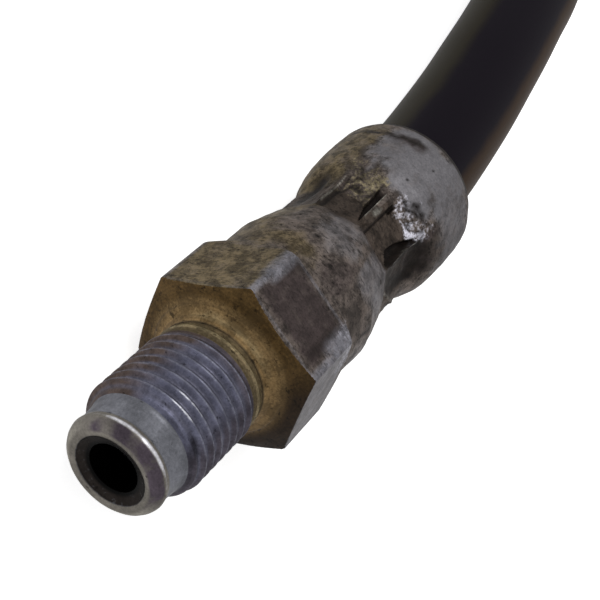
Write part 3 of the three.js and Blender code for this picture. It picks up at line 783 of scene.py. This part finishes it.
def fitting_metals(look, where, wanted):
    """The wanted finishes of a union, out of nose, thread, front and body."""
    # Bright zinc on turned steel: an even grey that mirrors softly, with painted shade round the
    # mouth
    nose = dict(
        name="turned steel with bright zinc" + where,
        base=linear("#64656b"),
        layers=[
            # The band is a painted dark reflection, the ridge and glint are painted highlights, and
            # the shade and mouth are painted shade
            ("face", "#66625c", 1.2, 0.8, 0.3),
            ("band", "#423b42", 1.2, 2.4, 0.35),
            ("ridge", "#bcbbc0", 0.6, 1.6, 0.3),
            ("glint", "#8d8980", 1.5, 1.2, 0.4),
            ("shade", "#1e1a18", 0.5, 1.6, 0.35),
            ("mouth", "#020202", 0.6, 0.9, 0.35),
        ],
        metallic=0.7,
        roughness=0.4,
        mottle=(2.4, 0.86, 1.16, 0.66),
        bump_depth=0.012,
        turned=0.05,
    )
    # Rolled thread under the same zinc: blue-grey flanks, painted highlights on thin crests,
    # painted shade in the roots
    thread = dict(
        name="rolled thread with bright zinc" + where,
        base=linear("#5d5e6f"),
        layers=[
            # Painted shade on the thread's sides, in its roots and by the pilot; painted highlights
            # on its crests
            ("warm_shade", "#4b403c", 1.6, 1.2, 0.4),
            ("dusk", "#403c44", 1.6, 1.0, 0.45),
            ("root", "#52525f", 0.6, 0.9, 0.45),
            ("crest", "#696a77", 0.4, 2.6, 0.35),
            ("ridge", "#c2c3ca", 0.3, 2.6, 0.3),
            ("shade", "#1c1b22", 0.5, 1.2, 0.4),
        ],
        metallic=0.6,
        roughness=0.45,
        mottle=(1.3, 0.8, 1.2, 0.64),
        bump_depth=0.02,
    )
    # Yellow chromate on turned steel: tan in the open, brown where grease has dried on it
    front = dict(
        name="yellow chromated turned steel" + where,
        base=tuple(look.chromate_color),
        layers=[
            # The brown rim is grease and painted shade, the glints are painted highlights, and the
            # darkest layer is painted shade
            ("rim", "#4a3920", 1.6, 1.2, 0.45),
            ("groove", "#6b5f48", 0.9, 1.2, 0.4),
            ("glint", "#8b7e60", 0.5, 2.4, 0.4),
            ("gloom", "#21180f", 1.6, 1.0, 0.45),
        ],
        metallic=0.55,
        roughness=0.46,
        mottle=(1.6, 0.72, 1.24, 0.6),
        bump_depth=0.015,
        turned=0.2,
    )
    # Cold-formed steel whose zinc has weathered: mottled grey-brown, pitted, rubbed pale at edges
    body = dict(
        name="weathered zinc on cold-formed steel" + where,
        base=tuple(look.steel_color),
        layers=[
            ("olive", "#544a38", 1.3, 2.2, 0.4),
            ("tawny", "#5f533e", 0.9, 2.6, 0.4),
            ("clean", "#6b696c", 1.3, 1.6, 0.4),
            ("brown", "#3b3332", 0.9, 2.2, 0.35),
            ("print", "#3d352f", 0.9, 0.6, 0.3),
            ("gold", "#82785f", 0.32, 4.4, 0.2),
            ("silver", "#abaab3", 0.3, 4.4, 0.22),
            ("worn", "#706f75", 0.5, 2.0, 0.4),
            # Soot, and painted shade in the hollows of the shell
            ("soot", "#17120f", 0.6, 2.4, 0.35),
            # Painted highlights on the raised edges
            ("bright", "#7c7a73", 0.4, 1.6, 0.3),
        ],
        metallic=0.6,
        roughness=look.body_roughness,
        mottle=(1.2, 0.57, 1.54, 0.575),
        bump_depth=0.06,
        calm=0.84,
        turned=0.03,
    )
    finishes = dict(nose=nose, thread=thread, front=front, body=body)
    return [stained_metal(**finishes[key]) for key in wanted]


def seen_by(tree, *rays):
    """A node that is 1 for the named kinds of ray, else 0."""
    path = add_node(tree, "ShaderNodeLightPath")
    seen = 0.0
    for ray in rays:
        seen = add_node(
            tree, "ShaderNodeMath", {"operation": "MAXIMUM"}, i0=path.outputs[ray], i1=seen
        )
    return seen


def stage_white(name, glow):
    """White paper: it glows a little for the camera and mirrors, and still takes the shadow."""
    material, tree = new_material(name)
    paper = add_node(tree, "ShaderNodeBsdfDiffuse", Color=linear("#ffffff"))
    light = add_node(tree, "ShaderNodeEmission", Strength=glow)
    seen = seen_by(tree, "Is Camera Ray", "Is Glossy Ray", "Is Transmission Ray")
    both = add_node(tree, "ShaderNodeAddShader", i0=paper, i1=light)
    shown = add_node(tree, "ShaderNodeMixShader", i0=seen, i1=paper, i2=both)
    add_node(tree, "ShaderNodeOutputMaterial", Surface=shown)
    return material


# Pieces


def finish_piece(piece, node, materials):
    """Puts a piece in the place of a node and gives it its materials."""
    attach(piece, "root")
    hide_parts(node)
    for material in materials:
        piece.data.materials.append(material)


def smooth_route():
    """The centreline as many close points, through the route's points."""
    points = [Vector(p) for p in HOSE_ROUTE]
    padded = [points[0] * 2 - points[1]] + points + [points[-1] * 2 - points[-2]]
    line = []
    for a, b, c, d in zip(padded, padded[1:], padded[2:], padded[3:]):
        knots = [0.0]
        for p, q in ((a, b), (b, c), (c, d)):
            knots.append(knots[-1] + math.sqrt((q - p).length))
        t0, t1, t2, t3 = knots
        count = max(2, round((c - b).length / (ROUTE_STEP * MM)))
        for i in range(count):
            t = t1 + (t2 - t1) * i / count
            a1 = a * ((t1 - t) / (t1 - t0)) + b * ((t - t0) / (t1 - t0))
            a2 = b * ((t2 - t) / (t2 - t1)) + c * ((t - t1) / (t2 - t1))
            a3 = c * ((t3 - t) / (t3 - t2)) + d * ((t - t2) / (t3 - t2))
            b1 = a1 * ((t2 - t) / (t2 - t0)) + a2 * ((t - t0) / (t2 - t0))
            b2 = a2 * ((t3 - t) / (t3 - t1)) + a3 * ((t - t1) / (t3 - t1))
            line.append(b1 * ((t2 - t) / (t2 - t1)) + b2 * ((t - t1) / (t2 - t1)))
    line.append(points[-1])
    return line


def squeezed(radius, back):
    """The radius of a layer of the hose at a distance back from the mouth of its crimp."""
    share = float(smooth(-12.0, -8.1, -back) + smooth(16.1, 19.6, back))
    ratio = (PINCHED_RADIUS - LINER_BORE) / (HOSE_RADIUS - LINER_BORE)
    pinched = LINER_BORE + (radius - LINER_BORE) * ratio
    return pinched + (radius - pinched) * min(share, 1.0)


class OBJECT_OT_male_fitting(bpy.types.Operator):
    """Makes the male union: nose, thread, hexagon and crimped shell in one turned piece"""

    bl_idname = "hose.male_fitting"
    bl_label = "Male fitting"

    def execute(self, context):
        # Closer together on the side with the fold, the strip and the fin
        turns = np.concatenate([np.arange(-75.0, 60.0, 0.9), np.arange(60.0, 285.0, 2.25)])
        piece = union_mesh(
            "male_fitting_worn", MALE_PROFILE, MALE_STEP, turns, male_shape, MALE_MOUTH, MALE_LENGTH
        )
        wanted = ("nose", "thread", "front", "body")
        metals = fitting_metals(context.scene.brake_hose, "", wanted)
        finish_piece(piece, "male_fitting", metals)
        paint_bands(piece, [(3.3, 0), (11.0, 1), (14.25, 2), (math.inf, 3)])
        return {"FINISHED"}


def paint_bands(piece, bands):
    """Gives each face the material of the band that its place lies in, from (end, material)."""
    mesh = piece.data
    places = np.empty(len(mesh.vertices), dtype=np.float32)
    mesh.attributes["band_place"].data.foreach_get("value", places)
    corners = np.empty(len(mesh.loops), dtype=np.int32)
    mesh.loops.foreach_get("vertex_index", corners)
    middles = places[corners.reshape(-1, 4)].mean(axis=1)
    indices = np.zeros(len(mesh.polygons), dtype=np.int32)
    for end, material in reversed(bands):
        indices[middles < end] = material
    mesh.polygons.foreach_set("material_index", indices)


FEMALE_PROFILE = [
    (14.2, 1.55, 3), (14.2, 2.17, 4), (12.6, 2.17, 1), (11.0, 4.1, 1), (10.8, 4.95, 0.4),
    (1.2, 4.95, 0.25), (0.85, 4.46, 0.5), (0.0, 5.3, 0.5), (0.0, 6.8, 0.5), (0.15, 6.95, 0.5),
    (0.6, 8.4, 0.5), (0.8, 8.7, 0.5), (5.0, 8.7, 0.5), (5.05, 6.3, 0.5), (7.2, 6.3, 0.5),
    (7.25, 8.7, 0.5), (14.7, 8.7, 0.5), (16.9, 6.97, 1),
]


def female_shape(station, radius, turn):
    s = station
    bore = (radius > 4.3) & (radius < 5.0) & (s > 0.9) & (s < 10.9)
    depth = thread_depth_at(s, turn)
    threaded = np.where(bore, radius - 0.5 * (1 - depth), radius)
    hexed = np.where(
        (radius > 6.4) & (s < 17),
        smooth_min(threaded, hexagon(turn, FEMALE_HEX), HEX_EDGE_BLEND),
        threaded,
    )
    on_shell = (s > 20.4) & (radius > OUTSIDE_FLOOR) & (s < FEMALE_LIP)
    pressed, printed = crimped(s, hexed, turn, FEMALE_LENGTH)
    final = np.where(on_shell, pressed, hexed)
    masks = female_marks(s, radius, turn, np.where(on_shell, printed, 0), bore, depth)
    in_bore = (final < 5.25) & (s < 18)
    masks["band_place"] = np.where(in_bore, 0.0, 1.0)
    return final, masks


def female_marks(s, radius, turn, printed, bore, depth):
    """Where the female union is stained, worn or clean, and where shade and highlights are painted
    on it.
    """

    def area(*limits):
        return patch(s, turn, *limits)

    outside = (radius > 5.2) & (s < FEMALE_LIP)
    on_hexagon = (s < 15.4) & (radius > 6.4)
    wear = hex_wear(s, turn, radius, 0.5, 15.3) * on_hexagon
    masks = {
        "olive": 0.6 * area(16, 24, 40, 190, 1.5, 20) + 0.5 * area(2, 14, 150, 270, 0.4, 1.5),
        "clean": 0.6 * area(33, 40, -90, 60, 1, 15) + 0.6 * area(0.8, 14.6, -30, 90, 0.3, 1.5),
        "brown": 0.6 * area(5.0, 7.25, -180, 180, 0.05),
        "print": printed,
        "gold": 0.55
        * (area(29.5, 32.2, -40, -16, 0.5, 5) + area(29.5, 32.2, 80, 118, 0.5, 5)),
        "silver": 0.6 * area(30.2, 32.8, -10, 20, 0.5, 5),
        "worn": 0.9 * wear,
        "tawny": 0.5 * area(17, 34, 60, 200, 2, 25),
        "soot": 0.6 * area(40.0, 41.5, -180, 180, 0.25) + 0.5 * area(4.95, 5.3, -180, 180, 0.1),
    }
    masks = {name: np.where(outside, values, 0) for name, values in masks.items()}
    # Painted shade inside the shell and past its lip
    masks["soot"] = np.where((radius < 6.1) & (s > 18) | (s >= FEMALE_LIP), 0.9, masks["soot"])
    # Painted shade in the roots of the thread and painted highlights on its crests
    masks["root"] = np.where(bore, 1 - depth, 0)
    masks["crest"] = np.where(bore, smooth(0.85, 1.0, depth), 0)
    for name in ("ridge", "shade", "warm_shade", "dusk", "bright"):
        masks[name] = np.zeros_like(s)
    return masks


class OBJECT_OT_female_fitting(bpy.types.Operator):
    """Makes the female union at the far end"""

    bl_idname = "hose.female_fitting"
    bl_label = "Female fitting"

    def execute(self, context):
        turns = np.arange(0.0, 360.0, 1.6)
        piece = union_mesh(
            "female_fitting_worn",
            FEMALE_PROFILE,
            FEMALE_STEP,
            turns,
            female_shape,
            FEMALE_MOUTH,
            FEMALE_LENGTH,
        )
        metals = fitting_metals(context.scene.brake_hose, ", far end", ("body", "thread"))
        finish_piece(piece, "female_fitting", metals)
        # A face has the finish of the bore if all four of its corners lie there
        paint_bands(piece, [(0.1, 1), (math.inf, 0)])
        return {"FINISHED"}


class OBJECT_OT_hose_cover(bpy.types.Operator):
    """Makes the rubber cover of the hose along its route"""

    bl_idname = "hose.hose_cover"
    bl_label = "Hose cover"

    def execute(self, context):
        look = context.scene.brake_hose
        line = smooth_route()
        hose_radius = round(look.hose_diameter / MM, 3) / 2
        along = (line[1] - line[0]).normalized()
        up = Vector((0, 0, 1))
        up = (up - along * up.dot(along)).normalized()
        length = sum((b - a).length for a, b in zip(line, line[1:])) / MM
        outside, inside = [], []
        travelled = 0.0
        for i, centre in enumerate(line):
            before, after = line[max(i - 1, 0)], line[min(i + 1, len(line) - 1)]
            travelled += (centre - line[i - 1]).length / MM if i else 0.0
            along = (after - before).normalized()
            up = (up - along * up.dot(along)).normalized()
            right = along.cross(up)
            near = HOSE_INSERTION - travelled
            far = HOSE_INSERTION - (length - travelled)
            for wall, rings in ((hose_radius, outside), (COVER_BORE, inside)):
                radius = squeezed(wall, max(near, far))
                ring = []
                for k in range(HOSE_SIDES):
                    turn = 2 * math.pi * k / HOSE_SIDES
                    offset = (up * math.cos(turn) + right * math.sin(turn)) * radius * MM
                    ring.append((*(centre + offset), travelled, radius, math.degrees(turn)))
                rings.append(ring)
        # Along the outside, round the far end and back along the bore
        rows = np.array(outside + inside[::-1])
        points = rows[:, :, :3].reshape(-1, 3)
        station, radius, turn = np.moveaxis(rows[:, :, 3:], 2, 0)
        # Dust and a painted sheen along the two sides of the hose
        masks = {
            "green_dust_and_sheen": 1 - smooth(12, 34, np.abs(turn_gap(turn, -78))),
            "brown_dust_and_sheen": 1 - smooth(14, 34, np.abs(turn_gap(turn, 47))),
        }
        piece = mesh_object("hose_cover_rubber", points, masks, (station, radius, turn))
        color = tuple(look.rubber_color)
        rubber = hose_rubber("extruded black rubber", color, look.rubber_roughness)
        finish_piece(piece, "hose_cover", [rubber])
        return {"FINISHED"}


class OBJECT_OT_inner_pieces(bpy.types.Operator):
    """Gives the pieces inside the hose their finish"""

    bl_idname = "hose.inner_pieces"
    bl_label = "Inner pieces"

    def execute(self, context):
        insert = drawn_steel("drawn steel tube", "#8f8c86", "#a8a6a0")
        braid = yarn("braided polyester yarn", "#cfc7b4")
        finishes = {
            "male_insert": insert,
            "female_insert": insert,
            "hose_liner": plain_rubber("lining rubber", "#1d1c1e", 0.6),
            "inner_braid": braid,
            "outer_braid": braid,
        }
        for node, material in finishes.items():
            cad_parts[node].data.materials.clear()
            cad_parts[node].data.materials.append(material)
        return {"FINISHED"}


def area_lamp(name, place, target, size, power):
    lamp = bpy.data.lights.new(name, "AREA")
    lamp.shape = "DISK"
    lamp.size = size
    lamp.energy = power
    holder = bpy.data.objects.new(name, lamp)
    bpy.context.collection.objects.link(holder)
    holder.location = place
    holder.rotation_euler = (Vector(target) - Vector(place)).to_track_quat("-Z", "Y").to_euler()


class OBJECT_OT_stage(bpy.types.Operator):
    """Makes the floor, the lamp, the world and the camera"""

    bl_idname = "hose.stage"
    bl_label = "Stage"

    def execute(self, context):
        look = context.scene.brake_hose
        scene = context.scene
        scene.view_settings.view_transform = "Standard"
        floor_mesh = bpy.data.meshes.new("floor")
        half = look.floor_size / 2
        corners = [(x * half, y * half, 0) for x, y in ((-1, -1), (1, -1), (1, 1), (-1, 1))]
        floor_mesh.from_pydata(corners, [], [(0, 1, 2, 3)])
        floor = bpy.data.objects.new("floor", floor_mesh)
        floor.location.z = -FLOOR_DROP
        bpy.context.collection.objects.link(floor)
        floor_mesh.materials.append(stage_white("white paper", look.floor_glow))

        world = bpy.data.worlds.new("white room")
        scene.world = world
        world.use_nodes = True
        tree = world.node_tree
        tree.nodes.clear()
        seen = seen_by(tree, "Is Camera Ray", "Is Glossy Ray")
        level = add_node(tree, "ShaderNodeMapRange", Value=seen, i3=look.room_light, i4=1.0)
        glow = add_node(tree, "ShaderNodeBackground", Color=linear("#ffffff"), Strength=level)
        add_node(tree, "ShaderNodeOutputWorld", Surface=glow)

        area_lamp("ceiling lamp", LAMP_PLACE, LAMP_TARGET, look.lamp_size, look.key_power)

        camera = bpy.data.cameras.new("photo camera")
        camera.lens = CAMERA_LENS
        camera.sensor_width = SENSOR_WIDTH
        camera.clip_start = 0.01
        holder = bpy.data.objects.new("photo camera", camera)
        bpy.context.collection.objects.link(holder)
        back = -Vector(CAMERA_FORWARD).normalized()
        right = Vector(CAMERA_UP).cross(back).normalized()
        up = back.cross(right)
        turned = Matrix((right, up, back)).transposed().to_4x4()
        holder.matrix_world = Matrix.Translation(CAMERA_PLACE) @ turned
        scene.camera = holder
        return {"FINISHED"}


class BrakeHoseLook(bpy.types.PropertyGroup):
    """The sizes and colours of the hose and its stage"""

    hose_diameter: FloatProperty(
        name="Hose diameter",
        description="Outer diameter of the rubber cover between the unions",
        default=2 * HOSE_RADIUS * MM, min=9 * MM, max=12 * MM, unit="LENGTH",
    )
    steel_color: FloatVectorProperty(
        name="Weathered steel",
        description="Colour of the hexagon and the crimped shell under their stains",
        default=linear("#554d48"),
        size=4, min=0, max=1, subtype="COLOR",
    )
    body_roughness: FloatProperty(
        name="Steel roughness",
        description="How dull the weathered steel is",
        default=0.5, min=0, max=1, subtype="FACTOR",
    )
    chromate_color: FloatVectorProperty(
        name="Yellow chromate",
        description="Colour of the turned front of the hexagon",
        default=linear("#725d3e"),
        size=4, min=0, max=1, subtype="COLOR",
    )
    rubber_color: FloatVectorProperty(
        name="Rubber colour",
        description="Colour of the rubber cover under its dust",
        default=linear("#151118"),
        size=4, min=0, max=1, subtype="COLOR",
    )
    rubber_roughness: FloatProperty(
        name="Rubber roughness",
        description="How dull the rubber is",
        default=0.5, min=0, max=1, subtype="FACTOR",
    )
    floor_size: FloatProperty(
        name="Floor size",
        description="Length of each side of the floor",
        default=8.0, min=1, unit="LENGTH",
    )
    floor_glow: FloatProperty(
        name="Floor glow",
        description="How much the floor glows for the camera",
        default=0.68, min=0, max=1,
    )
    room_light: FloatProperty(
        name="Room light",
        description="How brightly the room lights the object",
        default=0.5, min=0, max=2,
    )
    lamp_size: FloatProperty(
        name="Lamp size",
        description="Diameter of the lamp",
        default=0.35, min=0.01, unit="LENGTH",
    )
    key_power: FloatProperty(
        name="Lamp power",
        description="Power of the lamp above the hose",
        default=1.1, min=0, unit="POWER",
    )


class VIEW3D_PT_brake_hose(bpy.types.Panel):
    bl_label = "Brake hose"
    bl_idname = "VIEW3D_PT_brake_hose"
    bl_space_type = "VIEW_3D"
    bl_region_type = "UI"
    bl_category = "Brake hose"

    def draw(self, context):
        look = context.scene.brake_hose
        for name in BrakeHoseLook.__annotations__:
            self.layout.prop(look, name)
        for operator in OPERATORS:
            self.layout.operator(operator.bl_idname)


OPERATORS = (
    OBJECT_OT_stage,
    OBJECT_OT_male_fitting,
    OBJECT_OT_female_fitting,
    OBJECT_OT_hose_cover,
    OBJECT_OT_inner_pieces,
)


def register():
    for item in (BrakeHoseLook, *OPERATORS, VIEW3D_PT_brake_hose):
        bpy.utils.register_class(item)
    bpy.types.Scene.brake_hose = PointerProperty(type=BrakeHoseLook)


def unregister():
    del bpy.types.Scene.brake_hose
    for item in reversed((BrakeHoseLook, *OPERATORS, VIEW3D_PT_brake_hose)):
        bpy.utils.unregister_class(item)


def main():
    register()
    bpy.ops.hose.stage()
    bpy.ops.hose.male_fitting()
    bpy.ops.hose.female_fitting()
    bpy.ops.hose.hose_cover()
    bpy.ops.hose.inner_pieces()


if __name__ == "__main__":
    main()
